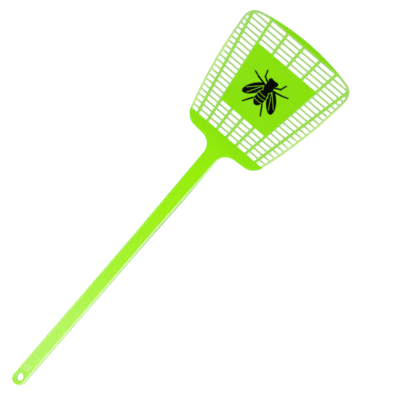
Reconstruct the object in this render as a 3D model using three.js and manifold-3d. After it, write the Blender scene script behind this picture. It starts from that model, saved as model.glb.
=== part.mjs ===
// Fly swatter: a one-piece lime-green polypropylene moulding with a black printed emblem.
//
// The head is a fan of seven lengthwise ribs crossed by thin strips inside a rim, with a solid
// plate in the middle for the print. The handle is a channel, open at the back, whose walls run
// out at the neck, so that the neck can flex. The moulding is divided into its regions by narrow
// cuts, so that each region is a solid of its own.
//
// Millimetres. +X across, +Y along the handle towards the head's tip, +Z out of the front face.
// Lengths along the swatter are measured from the tail; the last group moves the origin to the
// middle of the base.

import * as THREE from 'three';
import { mergeVertices } from 'three/addons/utils/BufferGeometryUtils.js';
import Module from 'manifold-3d';

// ---- driving dimensions ----

const LENGTH = 413.5;          // tail to tip
const FRONT = 7.6;             // height of the front face, and depth of the handle channel
const CUT = 0.3;               // gap between neighbouring regions

// The crown is an arc across the tip. At its ends it slopes into the head's top corners.
const CROWN_RADIUS = 242;
const CROWN_SLOPE = 0.22;
const TOP_CORNER = { x: 63.9, r: 13 };

// Outline, right half, from the top corner down to the tail: x, y, corner radius.
const OUTLINE = [
  { x: 59.5, y: 347.1, r: 400 },     // long, slightly bowed side
  { x: 41.5, y: 288.8, r: 15.5 },    // shoulder
  { x: 7.6, y: 286.6, r: 13 },       // fillet into the neck
  { x: 6.5, y: 170, r: 2000 },       // the handle widens from here to the neck
  { x: 6.4, y: 0, r: 6.39 },         // rounded tail
];

const RIM_WIDTH = 2.1;
const CROWN_WIDTH = 2.4;       // the rim across the top, at its corners
const RIM_DEPTH = 2.2;         // the rim, crown and throat
const RIB_WIDTH = 2.8;
const RIB_DEPTH = 2.0;
const STRIP_WIDTH = 1.9;
const STRIP_DEPTH = 1.4;
const PLATE_DEPTH = 1.6;

const STRIP_PITCH = 5;
const STRIP_COUNT = 21;
const FIRST_STRIP = 403;       // centre of the strip nearest to the tip
const PLATE_FIRST = 5;         // the print plate replaces the strips from this one ...
const PLATE_LAST = 17;         // ... to this one
const CORNER_STRIP = 2;        // the head's corners are solid down to this strip
const RIB_SPACING = 12;        // between rib centres, where the fan is measured
const FAN_FROM = 300;
const FAN_SLOPE = 0.074;       // growth of the rib spacing for each millimetre towards the tip

const WALL = 1.8;              // side walls and front face of the handle
const EYE_LENGTH = 13;         // solid tail around the hanging hole
const HOLE_RADIUS = 3.5;
const HOLE_FROM_TAIL = 7.9;
const WALL_RUNOUT_FROM = 225;  // the channel's walls start to get shallower here ...
const WALL_RUNOUT_TO = 285;    // ... and are as thin as the rim here
const CHANNEL_END = 283;
const NECK_FROM = 248;
const NECK_TO = 278;
const CORNER_CUT = 393;        // between the crown and the side rims

const PRINT_THICKNESS = 0.12;
const PRINT_LIFT = 0.03;
const PRINT_CENTRE = 353;
const LEG_WIDTH = 1.7;         // of the printed fly

// ---- facets ----

const ELLIPSE_SIDES = 28;
const STEP_RADIUS = 20;

const GREEN = new THREE.MeshStandardMaterial({ color: '#8ce600', roughness: 0.35, metalness: 0 });
const BLACK = new THREE.MeshStandardMaterial({ color: '#0b0b0b', roughness: 0.5, metalness: 0 });

// ---- joining and cutting ----

const wasm = await Module();
wasm.setup();

function solidOf(geometry) {
  const bare = geometry.clone();
  bare.deleteAttribute('normal');
  bare.deleteAttribute('uv');
  const merged = mergeVertices(bare, 1e-4);
  return new wasm.Manifold(new wasm.Mesh({
    numProp: 3,
    vertProperties: new Float32Array(merged.attributes.position.array),
    triVerts: new Uint32Array(merged.index.array),
  }));
}

function geometryOf(solid) {
  const mesh = solid.getMesh();
  const geometry = new THREE.BufferGeometry();
  const positions = new Float32Array(mesh.vertProperties);
  geometry.setAttribute('position', new THREE.BufferAttribute(positions, 3));
  geometry.setIndex(new THREE.BufferAttribute(new Uint32Array(mesh.triVerts), 1));
  geometry.computeVertexNormals();
  return geometry;
}

function union(solids) {
  return solids.reduce((sum, solid) => sum.add(solid));
}

// A flat shape raised from one height to another.
function prism(points, low, high) {
  const shape = new THREE.Shape(points);
  const geometry = new THREE.ExtrudeGeometry(shape, { depth: high - low, bevelEnabled: false });
  geometry.translate(0, 0, low);
  return solidOf(geometry);
}

function rectangle(x0, x1, y0, y1) {
  return [[x0, y0], [x1, y0], [x1, y1], [x0, y1]].map(([x, y]) => new THREE.Vector2(x, y));
}

function ellipse(x, y, rx, ry, turn = 0) {
  const curve = new THREE.EllipseCurve(x, y, rx, ry, 0, 2 * Math.PI, false, turn);
  return curve.getPoints(ELLIPSE_SIDES).slice(0, -1);
}

// ---- the outline ----

// Moves every side of an anticlockwise polygon inwards, and its corner radii with it.
function inset(corners, distance) {
  return corners.map((corner, i) => {
    const before = corners.at(i - 1);
    const after = corners[(i + 1) % corners.length];
    const into = new THREE.Vector2(corner.x - before.x, corner.y - before.y).normalize();
    const out = new THREE.Vector2(after.x - corner.x, after.y - corner.y).normalize();
    const sum = new THREE.Vector2(-into.y - out.y, into.x + out.x);
    const shift = sum.multiplyScalar(distance / (1 + into.dot(out)));
    const growth = into.cross(out) > 0 ? -distance : distance;
    return { x: corner.x + shift.x, y: corner.y + shift.y, r: corner.r + growth };
  });
}

// A polygon with each corner replaced by an arc of its radius, stepped at stepDegrees where the
// radius is STEP_RADIUS. Wider arcs get finer steps, so that all the flats are about as fine.
function rounded(corners, stepDegrees = 6) {
  return corners.flatMap((corner, i) => {
    const before = corners.at(i - 1);
    const after = corners[(i + 1) % corners.length];
    const into = new THREE.Vector2(corner.x - before.x, corner.y - before.y).normalize();
    const out = new THREE.Vector2(after.x - corner.x, after.y - corner.y).normalize();
    const turn = Math.atan2(into.cross(out), into.dot(out));
    const reach = corner.r * Math.tan(Math.abs(turn) / 2);
    const start = new THREE.Vector2(corner.x - into.x * reach, corner.y - into.y * reach);
    const toCentre = new THREE.Vector2(-into.y, into.x).multiplyScalar(corner.r * Math.sign(turn));
    const centre = start.clone().add(toCentre);
    const degrees = THREE.MathUtils.radToDeg(Math.abs(turn)) * Math.sqrt(corner.r / STEP_RADIUS);
    const steps = 2 * Math.ceil(degrees / stepDegrees / 2);
    const pointAt = (k) => start.clone().rotateAround(centre, turn * k / steps);
    return Array.from({ length: steps + 1 }, (_, k) => pointAt(k));
  });
}

// The whole outline, anticlockwise from the tip.
function outlineCorners() {
  const tip = { x: 0, y: LENGTH + CROWN_RADIUS * (Math.hypot(1, CROWN_SLOPE) - 1), r: CROWN_RADIUS };
  const right = [{ ...TOP_CORNER, y: tip.y - CROWN_SLOPE * TOP_CORNER.x }, ...OUTLINE];
  const left = right.map(({ x, y, r }) => ({ x: -x, y, r }));
  return [tip, ...left, ...right.reverse()];
}

// Half the handle's width at a distance from the tail.
function halfWidth(y) {
  const [neck, flare, tail] = OUTLINE.slice(-3);
  const [low, high] = y < flare.y ? [tail, flare] : [flare, neck];
  return THREE.MathUtils.mapLinear(y, low.y, high.y, low.x, high.x);
}

// ---- the lattice ----

const stripAt = (k) => FIRST_STRIP - STRIP_PITCH * (k - 1);
const ribAt = (n, y) => n * (RIB_SPACING + FAN_SLOPE * (y - FAN_FROM));

const SLOT = STRIP_PITCH - STRIP_WIDTH;
const FIELD_TOP = stripAt(1) + STRIP_WIDTH / 2 + SLOT;
const FIELD_BOTTOM = stripAt(STRIP_COUNT) - STRIP_WIDTH / 2 - SLOT;
const PLATE_TOP = stripAt(PLATE_FIRST) + STRIP_WIDTH / 2;
const PLATE_BOTTOM = stripAt(PLATE_LAST) - STRIP_WIDTH / 2;
const FAR = 90;                // further across than any part of the head

// The area between two ribs of the fan, with its long sides moved sideways.
function fanArea(left, right, leftShift, rightShift, y0, y1) {
  return [
    new THREE.Vector2(ribAt(left, y0) + leftShift, y0),
    new THREE.Vector2(ribAt(right, y0) + rightShift, y0),
    new THREE.Vector2(ribAt(right, y1) + rightShift, y1),
    new THREE.Vector2(ribAt(left, y1) + leftShift, y1),
  ];
}

function rib(n) {
  const half = RIB_WIDTH / 2;
  const area = fanArea(n, n, -half, half, FIELD_BOTTOM - 1, FIELD_TOP + 1);
  return prism(area, FRONT - RIB_DEPTH, FRONT);
}

function strip(k) {
  const y = stripAt(k);
  const area = rectangle(-FAR, FAR, y - STRIP_WIDTH / 2, y + STRIP_WIDTH / 2);
  return prism(area, FRONT - STRIP_DEPTH, FRONT);
}

// The opening inside the rim, drawn in by a margin. The head's two top corners stay solid.
function fieldSolid(margin) {
  const rim = inset(outlineCorners(), RIM_WIDTH + margin);
  const lowered = rim.map((corner) => {
    const drop = corner.y > PLATE_TOP ? CROWN_WIDTH - RIM_WIDTH : 0;
    return { ...corner, y: corner.y - drop };
  });
  const inner = prism(rounded(lowered), -1, FRONT + 1);
  const band = prism(rectangle(-FAR, FAR, FIELD_BOTTOM + margin, FIELD_TOP - margin), -1, FRONT + 1);
  const cornerFrom = stripAt(CORNER_STRIP) - STRIP_WIDTH / 2 - margin;
  const edge = RIB_WIDTH / 2 + margin;
  const rightCorner = [
    new THREE.Vector2(ribAt(3, cornerFrom) - edge, cornerFrom),
    new THREE.Vector2(FAR, cornerFrom),
    new THREE.Vector2(FAR, LENGTH),
    new THREE.Vector2(ribAt(3, LENGTH) - edge, LENGTH),
  ];
  const leftCorner = rightCorner.map((p) => new THREE.Vector2(-p.x, p.y)).reverse();
  const corners = [rightCorner, leftCorner].map((points) => prism(points, -1, FRONT + 1));
  return inner.intersect(band).subtract(union(corners));
}

// ---- the blank: outline, channel, run-out of the walls and hanging hole ----

// Height of the moulding's back edge at a distance from the tail.
function backEdge(y) {
  const t = THREE.MathUtils.clamp((y - WALL_RUNOUT_FROM) / (WALL_RUNOUT_TO - WALL_RUNOUT_FROM), 0, 1);
  return (FRONT - RIM_DEPTH) * (1 - Math.cos(Math.PI * t)) / 2;
}

// Everything behind the back edge, as a solid right across the swatter.
function behind() {
  const steps = 12;
  const curve = Array.from({ length: steps + 1 }, (_, k) => {
    const y = WALL_RUNOUT_FROM + (WALL_RUNOUT_TO - WALL_RUNOUT_FROM) * k / steps;
    return new THREE.Vector2(y, backEdge(y));
  });
  const end = LENGTH + 5;
  const points = [
    ...curve.slice(1).reverse(),
    new THREE.Vector2(WALL_RUNOUT_FROM, -1),
    new THREE.Vector2(end, -1),
    new THREE.Vector2(end, FRONT - RIM_DEPTH),
  ];
  const shape = new THREE.Shape(points);
  const geometry = new THREE.ExtrudeGeometry(shape, { depth: 2 * FAR, bevelEnabled: false });
  const axes = new THREE.Matrix4().makeBasis(
    new THREE.Vector3(0, 1, 0), new THREE.Vector3(0, 0, 1), new THREE.Vector3(1, 0, 0));
  geometry.applyMatrix4(axes);
  geometry.translate(-FAR, 0, 0);
  return solidOf(geometry);
}

function channelVoid() {
  const flare = OUTLINE.at(-2);
  const right = [
    { y: EYE_LENGTH, r: 0.5 },
    { y: flare.y, r: flare.r },
    { y: CHANNEL_END, r: 3 },
  ].map(({ y, r }) => ({ x: halfWidth(y) - WALL, y, r }));
  const left = right.map(({ x, y, r }) => ({ x: -x, y, r })).reverse();
  return prism(rounded([...right, ...left], 15), -1, FRONT - WALL);
}

function blank() {
  const full = prism(rounded(outlineCorners()), 0, FRONT);
  const hole = prism(ellipse(0, HOLE_FROM_TAIL, HOLE_RADIUS, HOLE_RADIUS), -1, FRONT + 1);
  return full.subtract(behind()).subtract(channelVoid()).subtract(hole);
}

// ---- regions ----

// The part of a solid between two distances from the tail, less half a saw cut at each end.
function between(solid, y0, y1, low = -2, high = FRONT + 2) {
  return solid.intersect(prism(rectangle(-FAR, FAR, y0 + CUT / 2, y1 - CUT / 2), low, high));
}

function halfOf(solid, side) {
  const area = side < 0 ? rectangle(-FAR, 0, -1, LENGTH + 1) : rectangle(0, FAR, -1, LENGTH + 1);
  return solid.intersect(prism(area, -2, FRONT + 2));
}

function handlePieces(body) {
  const length = between(body, EYE_LENGTH, NECK_FROM);
  const underFace = FRONT - WALL - CUT;
  const walls = between(body, EYE_LENGTH + 1, NECK_FROM, -1, underFace);
  return {
    hanging_eye: between(body, -5, EYE_LENGTH),
    handle_face: between(length, 0, LENGTH, FRONT - WALL, FRONT + 1),
    handle_wall_left: halfOf(walls, -1),
    handle_wall_right: halfOf(walls, 1),
    neck: between(body, NECK_FROM, NECK_TO),
  };
}

function framePieces(body) {
  const frame = body.subtract(fieldSolid(0));
  const sides = between(frame, FIELD_BOTTOM, CORNER_CUT);
  return {
    throat: between(frame, NECK_TO, FIELD_BOTTOM),
    side_rim_left: halfOf(sides, -1),
    side_rim_right: halfOf(sides, 1),
    crown: between(frame, CORNER_CUT, LENGTH + 5),
  };
}

function grillePieces() {
  const ribs = union([-3, -2, -1, 0, 1, 2, 3].map(rib));
  const strips = union(Array.from({ length: STRIP_COUNT }, (_, i) => strip(i + 1)));
  const lattice = ribs.add(strips).intersect(fieldSolid(CUT));
  const half = RIB_WIDTH / 2;
  const side = (area) => prism(area, -1, FRONT + 1);
  const left = fanArea(-2, -2, -FAR, half, FIELD_BOTTOM, FIELD_TOP);
  const right = fanArea(2, 2, -half, FAR, FIELD_BOTTOM, FIELD_TOP);
  const clear = half + CUT;
  const middle = (low, high) => fanArea(-2, 2, clear, -clear, low, high);
  return {
    grille_left: lattice.intersect(side(left)),
    grille_right: lattice.intersect(side(right)),
    grille_upper: lattice.intersect(side(middle(PLATE_TOP + CUT, FIELD_TOP))),
    grille_lower: lattice.intersect(side(middle(FIELD_BOTTOM, PLATE_BOTTOM - CUT))),
    print_plate: prism(middle(PLATE_BOTTOM, PLATE_TOP), FRONT - PLATE_DEPTH, FRONT),
  };
}

// ---- the print: a plain housefly seen from above, its head towards the tip ----

// A straight stroke with square ends.
function stroke(from, to, width) {
  const along = to.clone().sub(from).setLength(width / 2);
  const across = new THREE.Vector2(-along.y, along.x);
  const start = from.clone().sub(along);
  const end = to.clone().add(along);
  return [
    start.clone().add(across),
    start.clone().sub(across),
    end.clone().sub(across),
    end.clone().add(across),
  ];
}

// One leg: from the thorax out to the knee, then to the foot.
function leg(side, rootY, knee, foot) {
  const root = new THREE.Vector2(side * 2, rootY);
  const bend = new THREE.Vector2(side * knee[0], knee[1]);
  const tip = new THREE.Vector2(side * foot[0], foot[1]);
  return [stroke(root, bend, LEG_WIDTH), stroke(bend, tip, LEG_WIDTH)];
}

function emblem() {
  const wingTurn = 0.66;
  const abdomen = ellipse(0, -6, 5.2, 8.6);
  const thorax = ellipse(0, 5.2, 4.8, 5);
  const head = ellipse(0, 11, 4.2, 3);
  const shapes = [abdomen, thorax, head];
  for (const side of [-1, 1]) {
    const eye = ellipse(side * 3.2, 12, 2.2, 2.4);
    const wing = ellipse(side * 10.6, -3.2, 4.9, 11.6, side * wingTurn);
    shapes.push(eye, wing);
    shapes.push(...leg(side, 7.5, [9.5, 11.5], [11.5, 17]));
    shapes.push(...leg(side, 5, [14, 7.5], [20, 9.5]));
    shapes.push(...leg(side, -5, [8.5, -15], [11, -19]));
  }
  const low = FRONT + PRINT_LIFT;
  return union(shapes.map((points) => prism(points, low, low + PRINT_THICKNESS)))
    .translate([0, PRINT_CENTRE, 0]);
}

// ---- assembly ----

const swatter = new THREE.Group();
swatter.position.y = -LENGTH / 2;

function addPiece(name, solid, material) {
  const mesh = new THREE.Mesh(geometryOf(solid), material);
  mesh.name = name;
  swatter.add(mesh);
}

const body = blank();
const regions = { ...handlePieces(body), ...framePieces(body), ...grillePieces() };
for (const [name, solid] of Object.entries(regions)) {
  addPiece(name, solid, GREEN);
}
addPiece('printed_emblem', emblem(), BLACK);

const part = new THREE.Group();
part.add(swatter);

export default part;
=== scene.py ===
import math

import bpy
import numpy as np
from mathutils import Matrix, Vector
from mathutils.geometry import delaunay_2d_cdt


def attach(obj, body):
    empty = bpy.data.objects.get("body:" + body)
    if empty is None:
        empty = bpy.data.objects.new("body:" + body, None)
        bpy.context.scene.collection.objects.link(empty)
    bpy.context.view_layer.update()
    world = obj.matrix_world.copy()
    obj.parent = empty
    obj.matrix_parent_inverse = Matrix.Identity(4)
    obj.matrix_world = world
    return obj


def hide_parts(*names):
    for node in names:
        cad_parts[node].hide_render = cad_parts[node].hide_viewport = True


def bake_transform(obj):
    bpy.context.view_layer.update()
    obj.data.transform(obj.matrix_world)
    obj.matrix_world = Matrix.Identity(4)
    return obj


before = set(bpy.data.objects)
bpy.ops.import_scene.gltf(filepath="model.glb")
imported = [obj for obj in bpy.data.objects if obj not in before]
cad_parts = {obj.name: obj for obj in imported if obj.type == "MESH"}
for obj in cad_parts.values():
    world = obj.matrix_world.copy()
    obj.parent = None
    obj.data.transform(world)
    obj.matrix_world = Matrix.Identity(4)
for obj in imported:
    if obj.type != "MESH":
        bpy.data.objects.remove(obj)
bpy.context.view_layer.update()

# One-piece lime-green swatter with a black print. Plan shapes are in millimetres, with y measured
# from the tail; to_metres() takes them to the frame of the CAD model.

LENGTH = 413.5
FRONT = 7.6
CROWN_RADIUS = 242
CROWN_SLOPE = 0.22
TOP_CORNER = (63.9, 13)
OUTLINE = [  # right half below the top corner: x, y, corner radius
    (59.5, 347.1, 400),
    (41.5, 288.8, 15.5),
    (7.6, 286.6, 13),
    (6.5, 170, 2000),
    (6.4, 0, 6.39),
]
RIM_WIDTH = 2.1
CROWN_WIDTH = 2.4
RIM_DEPTH = 2.2
RIB_WIDTH = 2.8
RIB_DEPTH = 2.0
STRIP_WIDTH = 1.9
STRIP_DEPTH = 1.4
PLATE_DEPTH = 1.6
STRIP_PITCH = 5
STRIP_COUNT = 21
FIRST_STRIP = 403
PLATE_FIRST = 5
PLATE_LAST = 17
CORNER_STRIP = 2
OUTER_RIB = 3
PLATE_RIB = 2
RIB_SPACING = 12
FAN_FROM = 300
FAN_SLOPE = 0.074
WALL = 1.8
EYE_LENGTH = 13
HOLE_RADIUS = 3.5
HOLE_FROM_TAIL = 7.9
MARK_FROM_TAIL = 18.4
MARK_RADIUS = 3.85
GATE_Y = 279
GATE_RADIUS = 1.6
WALL_RUNOUT = (225, 285)
CHANNEL_END = 283
PRINT_CENTRE = 353

SLOT = STRIP_PITCH - STRIP_WIDTH
HEAD_CEILING = FRONT - STRIP_DEPTH
HANDLE_CEILING = FRONT - WALL


def strip_at(k):
    return FIRST_STRIP - STRIP_PITCH * (k - 1)


def rib_at(n, y):
    return n * (RIB_SPACING + FAN_SLOPE * (y - FAN_FROM))


FIELD_TOP = strip_at(1) + STRIP_WIDTH / 2 + SLOT
FIELD_BOTTOM = strip_at(STRIP_COUNT) - STRIP_WIDTH / 2 - SLOT
PLATE_TOP = strip_at(PLATE_FIRST) + STRIP_WIDTH / 2
PLATE_BOTTOM = strip_at(PLATE_LAST) - STRIP_WIDTH / 2


def smooth(a, b, x):
    t = np.clip((np.asarray(x, float) - a) / (b - a), 0, 1)
    return t * t * (3 - 2 * t)


# ---- plan curves: closed anticlockwise loops as arrays of points ----


def turn_at(before, here, after):
    into, out = here - before, after - here
    cross = into[0] * out[1] - into[1] * out[0]
    return math.atan2(cross, into @ out)


def arc_corner(before, here, after, radius, steps):
    """The points of the arc that replaces a corner."""
    turn = turn_at(before, here, after)
    into = (here - before) / np.linalg.norm(here - before)
    start = here - into * radius * math.tan(abs(turn) / 2)
    centre = start + np.array([-into[1], into[0]]) * radius * math.copysign(1, turn)
    angles = turn * np.arange(steps + 1) / steps
    spoke = start - centre
    c, s = np.cos(angles), np.sin(angles)
    return centre + np.stack([spoke[0] * c - spoke[1] * s, spoke[0] * s + spoke[1] * c], 1)


def rounded(corners, step_degrees=4.0):
    """A loop from corners (x, y, radius). Wide arcs get finer steps."""
    points = np.array([[x, y] for x, y, _ in corners], float)
    loop = []
    for i, (_, _, radius) in enumerate(corners):
        before, here, after = points[i - 1], points[i], points[(i + 1) % len(points)]
        degrees = abs(math.degrees(turn_at(before, here, after))) * math.sqrt(radius / 20)
        steps = 2 * math.ceil(degrees / step_degrees / 2)
        loop.append(arc_corner(before, here, after, radius, steps))
    return np.concatenate(loop)


def soften(loop, radius, reflex_radius=0.5, steps=4, sharp=math.radians(25)):
    """Rounds the sharp corners of a loop, by as much as its edges leave room for."""
    corners = [
        i for i in range(len(loop))
        if abs(turn_at(loop[i - 1], loop[i], loop[(i + 1) % len(loop)])) > sharp
    ]
    near = {
        j for i in corners for j in range(len(loop))
        if j not in corners and np.linalg.norm(loop[j] - loop[i]) < 1.6 * radius
    }
    kept = [i for i in range(len(loop)) if i not in near]
    out = []
    for k, i in enumerate(kept):
        before, here, after = loop[kept[k - 1]], loop[i], loop[kept[(k + 1) % len(kept)]]
        if i not in corners:
            out.append(here[None])
            continue
        reach = 0.42 * min(np.linalg.norm(here - before), np.linalg.norm(after - here))
        turn = turn_at(before, here, after)
        wanted = radius if turn > 0 else reflex_radius
        out.append(arc_corner(
            before, here, after, min(wanted, reach / math.tan(abs(turn) / 2)), steps))
    return np.concatenate(out)


def spaced(loop, least=0.05):
    """Drops the points that all but repeat the one before."""
    return loop[np.linalg.norm(loop - np.roll(loop, 1, axis=0), axis=1) > least]


def dense(loop, longest):
    """Adds points so that no edge is longer than this."""
    out = []
    for a, b in zip(loop, np.roll(loop, -1, axis=0)):
        n = max(1, math.ceil(np.linalg.norm(b - a) / longest))
        out.append(a + (b - a) * (np.arange(n) / n)[:, None])
    return np.concatenate(out)


def grown(loop, distance):
    """A loop moved outwards, by one distance or by one for each point."""
    ahead = np.roll(loop, -1, axis=0) - loop
    ahead /= np.linalg.norm(ahead, axis=1, keepdims=True)
    behind = np.roll(ahead, 1, axis=0)
    out = np.stack([ahead[:, 1] + behind[:, 1], -ahead[:, 0] - behind[:, 0]], 1)
    scale = 1 + np.sum(ahead * behind, axis=1)
    return loop + out * (np.broadcast_to(distance, len(loop)) / scale)[:, None]


def inset_corners(corners, distance):
    """Moves each side of the outline inwards, and its corner radii with it."""
    points = np.array([[x, y] for x, y, _ in corners], float)
    moved = []
    for i, (_, _, radius) in enumerate(corners):
        before, here, after = points[i - 1], points[i], points[(i + 1) % len(points)]
        into = (here - before) / np.linalg.norm(here - before)
        out = (after - here) / np.linalg.norm(after - here)
        shift = np.array([-into[1] - out[1], into[0] + out[0]]) * distance / (1 + into @ out)
        convex = turn_at(before, here, after) > 0
        x, y = here + shift
        moved.append((x, y, radius - distance if convex else radius + distance))
    return moved


def outline_corners():
    tip_y = LENGTH + CROWN_RADIUS * (math.hypot(1, CROWN_SLOPE) - 1)
    corner_x, corner_radius = TOP_CORNER
    right = [(corner_x, tip_y - CROWN_SLOPE * corner_x, corner_radius), *OUTLINE]
    left = [(-x, y, r) for x, y, r in right]
    return [(0, tip_y, CROWN_RADIUS), *left, *right[::-1]]


def clipped(loop, point, normal):
    """The part of a convex loop on the side of a line that its normal points to."""
    side = (loop - point) @ normal
    out = []
    for i in range(len(loop)):
        j = (i + 1) % len(loop)
        if side[i] >= 0:
            out.append(loop[i])
        if side[i] * side[j] < 0:
            out.append(loop[i] + (loop[j] - loop[i]) * side[i] / (side[i] - side[j]))
    return np.array(out).reshape(-1, 2)


def area(loop):
    x, y = loop.T
    return 0.5 * np.sum(x * np.roll(y, -1) - y * np.roll(x, -1))


def ellipse(x, y, rx, ry, turn=0.0, sides=56):
    a = np.arange(sides) * 2 * math.pi / sides
    px, py = rx * np.cos(a), ry * np.sin(a)
    c, s = math.cos(turn), math.sin(turn)
    return np.stack([x + px * c - py * s, y + px * s + py * c], 1)


def circle(x, y, radius, sides):
    return ellipse(x, y, radius, radius, sides=sides)


def half_width(y):
    neck, flare, tail = OUTLINE[-3:]
    return np.interp(y, [tail[1], flare[1], neck[1]], [tail[0], flare[0], neck[0]])


def back_edge(y):
    """Height of the moulding's back surface: the handle's walls run out at the neck."""
    t = np.clip((np.asarray(y, float) - WALL_RUNOUT[0]) / (WALL_RUNOUT[1] - WALL_RUNOUT[0]), 0, 1)
    return (FRONT - RIM_DEPTH) * (1 - np.cos(math.pi * t)) / 2


# ---- meshes from rings and flat fills ----

INSIDE_CONSTRAINTS = 1         # the triangulation's output: triangles inside the loops


class Skin:
    """Vertices and faces of one closed body."""

    def __init__(self):
        self.points = []
        self.faces = []

    def ring(self, loop, z):
        first = len(self.points)
        heights = np.broadcast_to(z, len(loop))
        self.points += [(x, y, h) for (x, y), h in zip(loop, heights)]
        return list(range(first, len(self.points)))

    def bridge(self, upper, lower, flip=False):
        for i in range(len(upper)):
            j = (i + 1) % len(upper)
            quad = (upper[j], upper[i], lower[i], lower[j])
            self.faces.append(quad[::-1] if flip else quad)

    def wall(self, rings, flip=False):
        for upper, lower in zip(rings, rings[1:]):
            self.bridge(upper, lower, flip)

    def fill(self, outer, holes=(), height=None, inner=(), down=False):
        """Closes a ring, with holes in it, by triangles. inner points lie at height(y)."""
        extra = self.ring(np.array(inner), [height(y) for _, y in inner]) if len(inner) else []
        index = [i for ring in (outer, *holes) for i in ring] + extra
        plan = [Vector(self.points[i][:2]) for i in index]
        edges, first, hole_of = [], 0, {}
        for number, ring in enumerate((outer, *holes)):
            n = len(ring)
            edges += [(first + i, first + (i + 1) % n) for i in range(n)]
            hole_of.update({i: number for i in ring if number > 0})
            first += n
        found = delaunay_2d_cdt(plan, edges, [], INSIDE_CONSTRAINTS, 1e-6)
        source = [ids[0] for ids in found[3]]
        for face in found[2]:
            corners = [index[source[i]] for i in face]
            a, b, c = (Vector(self.points[i][:2]) for i in corners)
            owners = {hole_of.get(i, 0) for i in corners}
            number = owners.pop()
            if not owners and number and self.encloses(holes[number - 1], (a + b + c) / 3):
                continue
            up = (b - a).cross(c - a) > 0
            self.faces.append(corners if up != down else corners[::-1])

    def encloses(self, ring, point):
        inside = False
        for i, j in zip(ring, ring[1:] + ring[:1]):
            (ax, ay), (bx, by) = self.points[i][:2], self.points[j][:2]
            if (ay > point.y) != (by > point.y):
                inside ^= point.x < ax + (bx - ax) * (point.y - ay) / (by - ay)
        return inside

    def object(self, name):
        mesh = bpy.data.meshes.new(name)
        mesh.from_pydata([to_metres(*p) for p in self.points], [], self.faces)
        mesh.validate()
        made = bpy.data.objects.new(name, mesh)
        bpy.context.scene.collection.objects.link(made)
        return made


def to_metres(x, y, z):
    return (x / 1000, (y - LENGTH / 2) / 1000, z / 1000)


def quarter(steps):
    """Shares of a radius along a quarter round: inwards, and away from the flat face."""
    angles = np.linspace(0, math.pi / 2, steps + 1)
    return [(1 - math.sin(a), 1 - math.cos(a)) for a in angles]


def prism(name, loop, low, high):
    skin = Skin()
    top, bottom = skin.ring(loop, high), skin.ring(loop, low)
    skin.wall([top, bottom])
    skin.fill(top)
    skin.fill(bottom, down=True)
    return skin.object(name)


def combined(target, tool, operation):
    """Joins a tool to a target mesh, or cuts it out, and removes the tool."""
    step = target.modifiers.new("step", "BOOLEAN")
    step.object = tool
    step.operation = operation
    step.solver = "MANIFOLD"
    bpy.context.view_layer.update()
    graph = bpy.context.evaluated_depsgraph_get()
    mesh = bpy.data.meshes.new_from_object(target.evaluated_get(graph))
    target.modifiers.clear()
    old, target.data = target.data, mesh
    bpy.data.meshes.remove(old)
    mesh.name = target.name
    bpy.data.objects.remove(tool)
    return target


# ---- the moulding ----

PLAN = dense(spaced(rounded(outline_corners())), 2.0)


UP, DOWN = np.array([0, 1]), np.array([0, -1])
SMALLEST_SLOT = 1.5            # in square millimetres
SLOT_CORNER = 0.5
SLOT_FRONT_ROUND = 0.18
SLOT_BACK_ROUND = 0.15
POCKET_MARGIN = 0.42           # how far the pocket reaches past the openings
HOLE_FRONT_ROUND = 0.6
HOLE_BACK_ROUND = 0.4
BACK_ROUND = 0.4
MARK_DEPTH = 0.15


def inside_rim():
    """The inner edge of the head's rim, above the throat."""
    rim = inset_corners(outline_corners(), RIM_WIDTH)
    lowered = [
        (x, y - (CROWN_WIDTH - RIM_WIDTH if y > PLATE_TOP else 0), r) for x, y, r in rim
    ]
    return clipped(rounded(lowered, 6.0), (0, FIELD_BOTTOM), UP)


def slot_loops():
    """The openings of the lattice, each a convex loop with softened corners."""
    inner = clipped(inside_rim(), (0, FIELD_TOP), DOWN)
    loops = []
    for column in range(-OUTER_RIB - 1, OUTER_RIB + 1):
        between = inner
        for n, side in ((column, 1), (column + 1, -1)):
            if abs(n) > OUTER_RIB:
                continue
            slope = n * FAN_SLOPE
            normal = side * np.array([1, -slope]) / math.hypot(1, slope)
            point = (rib_at(n, FAN_FROM) + side * RIB_WIDTH / 2, FAN_FROM)
            between = clipped(between, point, normal)
        outside = column in (-OUTER_RIB - 1, OUTER_RIB)
        beside_plate = -PLATE_RIB <= column < PLATE_RIB
        for row in range(STRIP_COUNT + 1):
            if outside and row < CORNER_STRIP:
                continue
            if beside_plate and PLATE_FIRST <= row < PLATE_LAST:
                continue
            cell = between
            if row > 0:
                cell = clipped(cell, (0, strip_at(row) - STRIP_WIDTH / 2), DOWN)
            if row < STRIP_COUNT:
                cell = clipped(cell, (0, strip_at(row + 1) + STRIP_WIDTH / 2), UP)
            if len(cell) < 3 or area(cell) < SMALLEST_SLOT:
                continue
            loops.append(soften(spaced(cell), SLOT_CORNER))
    return loops


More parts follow.
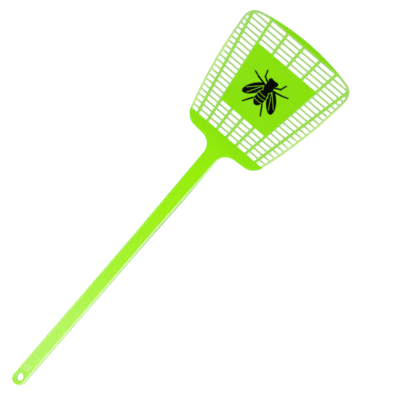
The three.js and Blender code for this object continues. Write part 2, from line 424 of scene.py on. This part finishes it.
def head_pocket_loop():
    """The hollow behind the lattice, a little wider than the openings."""
    inner = inside_rim()
    corner_y = strip_at(CORNER_STRIP) - STRIP_WIDTH / 2
    below = clipped(inner, (0, corner_y), DOWN)
    slope = OUTER_RIB * FAN_SLOPE
    middle = inner
    for side in (1, -1):
        normal = np.array([-side, slope]) / math.hypot(1, slope)
        point = (side * (rib_at(OUTER_RIB, FAN_FROM) - RIB_WIDTH / 2), FAN_FROM)
        middle = clipped(middle, point, normal)
    middle = clipped(middle, (0, corner_y), UP)
    right = below[below[:, 0] > 0]
    right = right[np.argsort(right[:, 1])]
    top = middle[np.argsort(-middle[:, 0])]
    top = top[top[:, 1] > corner_y + 0.01]
    step = middle[np.abs(middle[:, 1] - corner_y) < 0.01]
    step_x = step[:, 0].max()
    loop = np.concatenate([
        right, [[step_x, corner_y]], top, [[-step_x, corner_y]], right[::-1] * [-1, 1],
    ])
    softened = soften(spaced(loop), SLOT_CORNER, reflex_radius=1.3)
    return dense(grown(softened, POCKET_MARGIN), 3.0)


def channel_loop():
    """The hollow of the handle."""
    flare = OUTLINE[-2]
    right = [(EYE_LENGTH, 0.8), (flare[1], flare[2]), (CHANNEL_END, 3)]
    corners = [(half_width(y) - WALL, y, r) for y, r in right]
    corners += [(-x, y, r) for x, y, r in corners[::-1]]
    return dense(spaced(rounded(corners, 10.0)), 2.0)


def opening(skin, loop, front_round, front_steps, ceiling, back_round, back_steps):
    """The wall of a hole from the front face to a ceiling. Returns its two end rings."""
    rings = [
        skin.ring(grown(loop, front_round * inwards), FRONT - front_round * away)
        for inwards, away in quarter(front_steps)
    ]
    rings += [
        skin.ring(grown(loop, back_round * inwards), ceiling + back_round * away)
        for inwards, away in quarter(back_steps)[::-1]
    ]
    skin.wall(rings, flip=True)
    return rings[0], rings[-1]


def moulding():
    skin = Skin()
    front_round = 0.95 - 0.45 * smooth(235, 292, PLAN[:, 1])
    back = back_edge(PLAN[:, 1])
    side = [
        skin.ring(grown(PLAN, -front_round * inwards), FRONT - front_round * away)
        for inwards, away in quarter(6)
    ]
    side += [
        skin.ring(grown(PLAN, -BACK_ROUND * inwards), back + BACK_ROUND * away)
        for inwards, away in quarter(3)[::-1]
    ]
    skin.wall(side)

    front_holes, head_holes = [], []
    for loop in slot_loops():
        upper, lower = opening(
            skin, loop, SLOT_FRONT_ROUND, 3, HEAD_CEILING, SLOT_BACK_ROUND, 2)
        front_holes.append(upper)
        head_holes.append(lower)

    hole = circle(0, HOLE_FROM_TAIL, HOLE_RADIUS, 64)
    upper, lower = opening(skin, hole, HOLE_FRONT_ROUND, 4, 0.0, HOLE_BACK_ROUND, 3)
    front_holes.append(upper)
    back_holes = [lower]

    # Shallow round marks in the front: the ejector's near the tail and the gate's on the throat.
    for y, radius in ((MARK_FROM_TAIL, MARK_RADIUS), (GATE_Y, GATE_RADIUS)):
        rim = circle(0, y, radius, 40)
        rings = [
            skin.ring(grown(rim, spread), FRONT - sunk)
            for spread, sunk in ((0.12, 0), (0.02, 0.3 * MARK_DEPTH), (-0.12, MARK_DEPTH))
        ]
        skin.wall(rings, flip=True)
        skin.fill(rings[-1])
        front_holes.append(rings[0])

    inner = [(0, y) for y in np.arange(26, 271, 3.0)]
    inner += [(0, y) for y in (284.5, 288, 292)]
    inner += [(x, y) for x in (-8, 8) for y in (288, 292)]
    skin.fill(side[0], front_holes, height=lambda y: FRONT, inner=inner)

    for loop, ceiling in ((channel_loop(), HANDLE_CEILING), (head_pocket_loop(), HEAD_CEILING)):
        floor = back_edge(loop[:, 1])
        depth = ceiling - floor
        lip = np.minimum(0.35, 0.25 * depth)
        fillet = np.minimum(0.7, 0.19 * depth)
        rings = [
            skin.ring(grown(loop, lip * inwards), floor + lip * away)
            for inwards, away in quarter(3)
        ]
        rings += [
            skin.ring(grown(loop, -fillet * (1 - away)), ceiling - fillet * (1 - inwards))
            for inwards, away in quarter(3)[::-1]
        ]
        skin.wall(rings)
        back_holes.append(rings[0])
        if ceiling == HANDLE_CEILING:
            middle = [(0, y) for y in np.arange(20, 278, 3.0)]
            skin.fill(rings[-1], height=lambda y: HANDLE_CEILING, inner=middle, down=True)
        else:
            skin.fill(rings[-1], head_holes, down=True)
    skin.fill(side[-1], back_holes, down=True)
    return skin.object("moulding")


def ridge(n, y0, y1):
    """The part of a rib that stands behind the strips."""
    half_top, half_bottom, edge = 0.84, 0.76, 0.22
    profile = [(half_top, FRONT - 0.9)]
    profile += [
        (half_bottom - edge * inwards, FRONT - RIB_DEPTH + edge * away)
        for inwards, away in quarter(3)[::-1]
    ]
    section = profile + [(-x, z) for x, z in profile[::-1]]
    skin = Skin()
    ends = []
    for y in (y0, y1):
        first = len(skin.points)
        skin.points += [(rib_at(n, y) + x, y, z) for x, z in section]
        ends.append(list(range(first, len(skin.points))))
    skin.bridge(ends[0], ends[1])
    skin.faces.append(ends[0])
    skin.faces.append(ends[1][::-1])
    return skin.object(f"ridge{n}")


def crown_inside(x):
    """y of the crown's inner edge."""
    radius = CROWN_RADIUS - RIM_WIDTH
    top = LENGTH - CROWN_WIDTH
    return top - radius + math.sqrt(radius * radius - x * x)


def build_moulding():
    body = moulding()
    into = 0.6
    plate = np.array([
        (rib_at(-PLATE_RIB, PLATE_BOTTOM), PLATE_BOTTOM),
        (rib_at(PLATE_RIB, PLATE_BOTTOM), PLATE_BOTTOM),
        (rib_at(PLATE_RIB, PLATE_TOP), PLATE_TOP),
        (rib_at(-PLATE_RIB, PLATE_TOP), PLATE_TOP),
    ], float)
    tools = [prism("plate", plate, FRONT - PLATE_DEPTH, FRONT - 0.5)]
    for n in range(-OUTER_RIB, OUTER_RIB + 1):
        top = min(crown_inside(rib_at(n, FIELD_TOP)), FIELD_TOP) + into
        bottom = FIELD_BOTTOM - into
        if abs(n) < PLATE_RIB:
            tools.append(ridge(n, PLATE_TOP - into, top))
            tools.append(ridge(n, bottom, PLATE_BOTTOM + into))
        else:
            tools.append(ridge(n, bottom, top))
    for tool in tools:
        combined(body, tool, "UNION")
    return body


# ---- the print: a plain housefly seen from above ----


def stroke(start, end, width):
    start, end = np.array(start, float), np.array(end, float)
    along = (end - start) / np.linalg.norm(end - start) * width / 2
    across = np.array([-along[1], along[0]])
    return np.array([start - along + across, start - along - across, end + along - across,
                     end + along + across])


def build_print():
    low, high = FRONT + 0.01, FRONT + 0.07

    def piece(loop):
        return prism("ink", loop + [0, PRINT_CENTRE], low, high)

    def cutter(loop):
        return prism("cut", loop + [0, PRINT_CENTRE], low - 1, high + 1)

    body_parts = [(0, -6, 5.2, 8.6), (0, 5.2, 4.8, 5.0), (0, 11, 4.2, 3.0)]
    wing_turn = 0.66
    fly = piece(ellipse(-10.6, -3.2, 4.9, 11.6, -wing_turn))
    combined(fly, piece(ellipse(10.6, -3.2, 4.9, 11.6, wing_turn)), "UNION")
    for side in (-1, 1):  # veins
        root = (side * 4.4, 5.0)
        for tip in ((13.4, -10.5), (16.6, -7.0)):
            combined(fly, cutter(stroke(root, (side * tip[0], tip[1]), 0.45)), "DIFFERENCE")
    for x, y, rx, ry in body_parts[:2]:
        combined(fly, cutter(ellipse(x, y, rx + 0.5, ry + 0.5)), "DIFFERENCE")
    for part in body_parts:
        combined(fly, piece(ellipse(*part)), "UNION")
    for side in (-1, 1):
        combined(fly, piece(ellipse(side * 3.2, 12, 2.2, 2.4)), "UNION")
        legs = (
            (7.5, (9.5, 11.5), (11.5, 17)),
            (5, (14, 7.5), (20, 9.5)),
            (-5, (8.5, -15), (11, -19)),
        )
        for root, knee, foot in legs:
            points = [(side * 2, root), (side * knee[0], knee[1]), (side * foot[0], foot[1])]
            combined(fly, piece(stroke(points[0], points[1], 1.8)), "UNION")
            combined(fly, piece(stroke(points[1], points[2], 1.5)), "UNION")
            combined(fly, piece(ellipse(*points[1], 0.88, 0.88)), "UNION")
    for y in (-3.4, -6.9, -10.4):  # bands across the abdomen
        x = np.linspace(-5.9, 5.9, 17)
        lower = np.stack([x, y + 12 - 12 * np.sqrt(1 - (x / 14) ** 2)], axis=1)
        combined(fly, cutter(np.concatenate([lower, lower[::-1] + [0, 0.4]])), "DIFFERENCE")
    fly.name = "print"
    fly.data.name = "print"
    return fly


# ---- materials ----

FLOOR_LIGHT = 1.2              # brightness of a white surface that faces up


class Nodes:
    """Short calls for building one material's nodes."""

    def __init__(self, name):
        self.material = bpy.data.materials.new(name)
        self.material.use_nodes = True
        self.tree = self.material.node_tree
        self.shader = self.tree.nodes["Principled BSDF"]

    def put(self, socket, value):
        if isinstance(value, bpy.types.NodeSocket):
            self.tree.links.new(value, socket)
        else:
            socket.default_value = value

    def node(self, kind, **values):
        made = self.tree.nodes.new(kind)
        for key, value in values.items():
            setattr(made, key, value)
        return made

    def math(self, operation, a, b=0.0, c=0.0):
        made = self.node("ShaderNodeMath", operation=operation)
        for socket, value in zip(made.inputs, (a, b, c)):
            self.put(socket, value)
        return made.outputs[0]

    def length(self, a, b):
        return self.math("SQRT", self.math("MULTIPLY_ADD", a, a, self.math("MULTIPLY", b, b)))

    def remap(self, value, from_low, from_high, to_low=0.0, to_high=1.0):
        made = self.node("ShaderNodeMapRange", interpolation_type="SMOOTHSTEP")
        for socket, v in zip(made.inputs, (value, from_low, from_high, to_low, to_high)):
            self.put(socket, v)
        return made.outputs[0]

    def mix(self, factor, a, b):
        made = self.node("ShaderNodeMix", data_type="RGBA")
        self.put(made.inputs[0], factor)
        self.put(made.inputs[6], a)
        self.put(made.inputs[7], b)
        return made.outputs[2]

    def ramp(self, factor, stops):
        made = self.node("ShaderNodeValToRGB")
        self.put(made.inputs[0], factor)
        elements = made.color_ramp.elements
        while len(elements) < len(stops):
            elements.new(0.5)
        for element, (position, colour) in zip(elements, stops):
            element.position = position
            element.color = colour
        return made.outputs[0]

    def noise(self, vector, scale, detail=3.0, roughness=0.55):
        made = self.node("ShaderNodeTexNoise")
        self.put(made.inputs["Vector"], vector)
        made.inputs["Scale"].default_value = scale
        made.inputs["Detail"].default_value = detail
        made.inputs["Roughness"].default_value = roughness
        return made.outputs[0]

    def stretched(self, vector, scale):
        made = self.node("ShaderNodeMapping")
        self.put(made.inputs["Vector"], vector)
        made.inputs["Scale"].default_value = scale
        return made.outputs[0]

    def bump(self, height, distance, strength=1.0, normal=None):
        made = self.node("ShaderNodeBump")
        self.put(made.inputs["Height"], height)
        made.inputs["Distance"].default_value = distance
        made.inputs["Strength"].default_value = strength
        if normal is not None:
            self.put(made.inputs["Normal"], normal)
        return made.outputs[0]


def linear(red, green, blue):
    """An sRGB colour in 0 to 255 as the shader's linear colour."""
    values = [c / 255 for c in (red, green, blue)]
    return [c / 12.92 if c < 0.04045 else ((c + 0.055) / 1.055) ** 2.4 for c in values] + [1.0]


def lit(red, green, blue):
    """The base colour that the scene's light shows as this sRGB colour."""
    return [c / FLOOR_LIGHT for c in linear(red, green, blue)[:3]] + [1.0]


def green_plastic():
    n = Nodes("green_polypropylene")
    place = n.node("ShaderNodeAttribute", attribute_name="rest_place").outputs["Vector"]
    split = n.node("ShaderNodeSeparateXYZ")
    n.put(split.inputs[0], place)
    across = n.math("MULTIPLY", split.outputs[0], 1000.0)
    millimetres = n.math("MULTIPLY_ADD", split.outputs[1], 1000.0, LENGTH / 2)
    height = n.math("MULTIPLY", split.outputs[2], 1000.0)

    # The plastic is paler towards the tail: a painted reflection of the light on the handle. The
    # handle's edges carry painted highlights and its right side wall painted shade, and the plastic
    # is paler where the lattice is thin.
    body = n.ramp(n.math("DIVIDE", millimetres, LENGTH), (
        (0.0, lit(172, 240, 60)), (0.05, lit(191, 251, 110)), (0.16, lit(189, 251, 100)),
        (0.33, lit(173, 249, 50)), (0.50, lit(164, 246, 12)), (0.62, lit(157, 242, 0)),
        (0.69, lit(151, 240, 0)), (0.72, lit(144, 233, 0)), (0.96, lit(142, 230, 0)),
        (1.0, lit(137, 224, 0))))
    reach = n.remap(millimetres, 170.0, 286.0, 6.45, 7.5)
    # Painted highlight: a pale band along the handle's left edge, where the light falls.
    left = n.math("POWER", n.remap(n.math("ADD", reach, across), 3.2, 0.0), 1.6)
    left = n.math("MULTIPLY", left, n.remap(millimetres, 290.0, 50.0, 0.0, 0.62))
    # Painted highlight: a bright line along the handle's right edge, running up round the throat's
    # fillet.
    _, throat_y, throat_radius = OUTLINE[2]
    sideways = n.math("SUBTRACT", n.math("ADD", reach, throat_radius), across)
    beyond = n.math("MAXIMUM", n.math("SUBTRACT", millimetres, throat_y + 0.8 - throat_radius), 0.0)
    inwards = n.math("SUBTRACT", n.length(sideways, beyond), throat_radius)
    right_edge_painted_light = n.math("MULTIPLY", n.remap(millimetres, 292.0, 280.0), n.remap(across, 16.0, 9.0))
    right = n.math("MULTIPLY", n.remap(inwards, 1.3, 0.3), right_edge_painted_light)
    right = n.math("MULTIPLY", right, n.remap(millimetres, 270.0, 170.0, 0.55, 0.66))
    # Both painted highlights mix in this pale colour.
    body = n.mix(n.math("MAXIMUM", left, right), body, lit(232, 252, 200))
    # Painted shade: the right side wall below the rounded front edge is darker.
    outer = n.math("MULTIPLY", n.remap(inwards, 0.3, 0.1), right_edge_painted_light)
    outer = n.math("MULTIPLY", outer, n.remap(height, FRONT - 0.7, FRONT - 1.3))
    wall = n.mix(n.remap(millimetres, 130.0, 210.0), lit(168, 212, 118), lit(148, 190, 96))
    body = n.mix(outer, body, wall)
    mark = n.length(across, n.math("SUBTRACT", millimetres, MARK_FROM_TAIL))
    body = n.mix(n.remap(mark, MARK_RADIUS + 0.3, MARK_RADIUS - 0.8, 0.0, 0.24), body,
                 lit(225, 251, 185))
    spacing = n.math("MULTIPLY_ADD", millimetres, FAN_SLOPE, RIB_SPACING - FAN_SLOPE * FAN_FROM)
    ribs = n.math("DIVIDE", across, spacing)
    from_rib = n.math("MULTIPLY", n.math("PINGPONG", n.math("ABSOLUTE", ribs), 0.5), spacing)
    off_rib = n.remap(from_rib, RIB_WIDTH / 2 - 0.3, RIB_WIDTH / 2 + 0.2)
    in_field = n.math(
        "MULTIPLY",
        n.remap(millimetres, FIELD_BOTTOM - 0.2, FIELD_BOTTOM + 0.6),
        n.remap(millimetres, FIELD_TOP + 2.0, FIELD_TOP + 0.6),
    )
    beside = n.remap(n.math("ABSOLUTE", ribs), PLATE_RIB - 0.02, PLATE_RIB + 0.05)
    above = n.remap(millimetres, PLATE_TOP - 0.1, PLATE_TOP + 0.3)
    under = n.remap(millimetres, PLATE_BOTTOM + 0.1, PLATE_BOTTOM - 0.3)
    off_plate = n.math("MAXIMUM", beside, n.math("MAXIMUM", above, under))
    lattice = n.math("MULTIPLY", in_field, off_plate)
    bars = n.mix(off_rib, lit(158, 226, 76), lit(178, 218, 138))
    bars = n.mix(n.remap(n.math("ABSOLUTE", ribs), 3.3, 3.45), bars, lit(197, 233, 152))
    colour = n.mix(lattice, body, bars)

    # Flow of the colour in the melt, and fine speckle.
    flow = n.noise(n.stretched(place, (90.0, 9.0, 90.0)), 1.0, 4.0)
    speckle = n.noise(place, 900.0, 2.0)
    hue = n.node("ShaderNodeHueSaturation")
    n.put(hue.inputs["Color"], colour)
    n.put(hue.inputs["Value"], n.math(
        "ADD", n.remap(flow, 0.3, 0.7, 0.985, 1.0), n.math("MULTIPLY", speckle, 0.02)))
    n.put(n.shader.inputs["Base Color"], hue.outputs[0])

    scuffs = n.noise(n.stretched(place, (1500.0, 160.0, 1500.0)), 1.0, 3.0)
    haze = n.noise(place, 45.0, 3.0)
    rough = n.math("ADD", n.remap(haze, 0.3, 0.7, 0.24, 0.34), n.math("MULTIPLY", scuffs, 0.08))
    n.put(n.shader.inputs["Roughness"], rough)
    grain = n.bump(n.noise(place, 2600.0, 2.0), 0.00001)
    ripple = n.noise(n.stretched(place, (160.0, 30.0, 160.0)), 1.0, 2.0)
    waves = n.bump(ripple, 0.00012, normal=grain)
    n.put(n.shader.inputs["Normal"], n.bump(scuffs, 0.000012, normal=waves))
    n.shader.inputs["IOR"].default_value = 1.49
    n.shader.inputs["Specular IOR Level"].default_value = 0.35
    n.shader.inputs["Subsurface Weight"].default_value = 0.25
    n.shader.inputs["Subsurface Radius"].default_value = (0.6, 1.0, 0.15)
    n.shader.inputs["Subsurface Scale"].default_value = 0.0015
    return n.material


def black_ink():
    n = Nodes("black_ink")
    place = n.node("ShaderNodeAttribute", attribute_name="rest_place").outputs["Vector"]
    mottle = n.noise(place, 700.0, 4.0)
    n.put(n.shader.inputs["Base Color"], n.mix(
        n.remap(mottle, 0.35, 0.75), linear(0, 0, 0), linear(5, 5, 4)))
    n.put(n.shader.inputs["Roughness"], n.remap(mottle, 0.3, 0.7, 0.6, 0.75))
    n.put(n.shader.inputs["Normal"], n.bump(n.noise(place, 3000.0, 2.0), 0.00001))
    n.shader.inputs["Specular IOR Level"].default_value = 0.04
    return n.material


def finished(piece, material):
    """Smooths a piece, and gives it its material and its places at rest for the patterns."""
    mesh = piece.data
    mesh.materials.clear()
    mesh.materials.append(material)
    mesh.shade_smooth()
    mesh.set_sharp_from_angle(angle=math.radians(38))
    places = np.zeros(len(mesh.vertices) * 3, np.float32)
    mesh.vertices.foreach_get("co", places)
    mesh.attributes.new("rest_place", "FLOAT_VECTOR", "POINT").data.foreach_set("vector", places)
    flat = piece.modifiers.new("flat_faces", "WEIGHTED_NORMAL")
    flat.keep_sharp = True


# ---- camera, floor and light ----

TILT, PITCH, ROLL = (math.radians(a) for a in (13.4733, 1.0363, 49.1812))
TARGET = (0.0, 0.0, 0.004)          # the point that the camera's offsets are counted from
TARGET_RIGHT, TARGET_UP = 0.03533, 0.012515
DISTANCE = 3.4105
LENS = 333.7


def place_camera():
    ct, st, cp, sp = math.cos(TILT), math.sin(TILT), math.cos(PITCH), math.sin(PITCH)
    turn_y = Matrix(((ct, 0, -st), (0, 1, 0), (st, 0, ct)))
    turn_x = Matrix(((1, 0, 0), (0, cp, -sp), (0, sp, cp)))
    to_world = (turn_x @ turn_y).transposed()
    right = to_world @ Vector((math.sin(ROLL), math.cos(ROLL), 0))
    up = to_world @ Vector((-math.cos(ROLL), math.sin(ROLL), 0))
    back = to_world @ Vector((0, 0, 1))
    data = bpy.data.cameras.new("camera")
    data.sensor_width = 36
    data.lens = LENS
    data.clip_end = 50
    camera = bpy.data.objects.new("camera", data)
    bpy.context.scene.collection.objects.link(camera)
    centre = Vector(TARGET) + right * TARGET_RIGHT + up * TARGET_UP
    axes = Matrix((right, up, back)).transposed().to_4x4()
    camera.matrix_world = Matrix.Translation(centre + back * DISTANCE) @ axes
    bpy.context.scene.camera = camera


FLOOR_DROP = 0.056               # leaves room for the head to bend down


def place_floor():
    mesh = bpy.data.meshes.new("floor")
    reach = 12.0
    mesh.from_pydata(
        [(-reach, -reach, 0), (reach, -reach, 0), (reach, reach, 0), (-reach, reach, 0)],
        [], [(0, 1, 2, 3)])
    floor = bpy.data.objects.new("floor", mesh)
    floor.location.z = -FLOOR_DROP
    bpy.context.scene.collection.objects.link(floor)
    n = Nodes("floor_white")
    place = n.node("ShaderNodeTexCoord").outputs["Object"]
    n.put(n.shader.inputs["Base Color"], n.mix(
        n.noise(place, 3.0), linear(124, 124, 124), linear(127, 127, 127)))
    n.shader.inputs["Roughness"].default_value = 0.9
    n.shader.inputs["Specular IOR Level"].default_value = 0.0
    n.shader.inputs["Emission Color"].default_value = (1, 1, 1, 1)
    n.shader.inputs["Emission Strength"].default_value = 0.83
    mesh.materials.append(n.material)


def place_light():
    """A studio tent: bright low sides and a dark opening straight above."""
    world = bpy.data.worlds.new("tent")
    bpy.context.scene.world = world
    world.use_nodes = True
    tree = world.node_tree
    background = tree.nodes["Background"]
    background.inputs["Color"].default_value = (1, 1, 1, 1)
    direction = tree.nodes.new("ShaderNodeTexCoord").outputs["Generated"]
    split = tree.nodes.new("ShaderNodeSeparateXYZ")
    tree.links.new(direction, split.inputs[0])
    total = tree.nodes.new("ShaderNodeMath")
    for socket, (low, high, change) in zip(total.inputs, ((0.12, 0.30, 2.45), (0.55, 0.80, -2.42))):
        step = tree.nodes.new("ShaderNodeMapRange")
        step.interpolation_type = "SMOOTHSTEP"
        tree.links.new(split.outputs[2], step.inputs[0])
        for field, value in zip(step.inputs[1:5], (low, high, 0.0, change)):
            field.default_value = value
        tree.links.new(step.outputs[0], socket)
    tree.links.new(total.outputs[0], background.inputs["Strength"])

    # A strip light on the right lights the handle's right edge; the bright line along that edge is
    # also a painted highlight in the plastic's colour.
    light = bpy.data.lights.new("strip", "AREA")
    light.shape = "RECTANGLE"
    light.size, light.size_y = 0.25, 2.2
    light.energy = 20.0
    lamp = bpy.data.objects.new("strip", light)
    lamp.location = (2.2, 0.0, 1.3)
    back = Vector(lamp.location).normalized()
    along = Vector((0, 1, 0))
    lamp.rotation_mode = "QUATERNION"
    lamp.rotation_quaternion = Matrix((along.cross(back), along, back)).transposed().to_quaternion()
    bpy.context.scene.collection.objects.link(lamp)


# ---- the scene ----

swatter = build_moulding()
finished(swatter, green_plastic())
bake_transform(swatter)
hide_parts(*(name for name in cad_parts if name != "printed_emblem"))

ink = build_print()
finished(ink, black_ink())
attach(ink, "head")
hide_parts("printed_emblem")

place_camera()
place_floor()
place_light()
bpy.context.scene.view_settings.view_transform = "Standard"
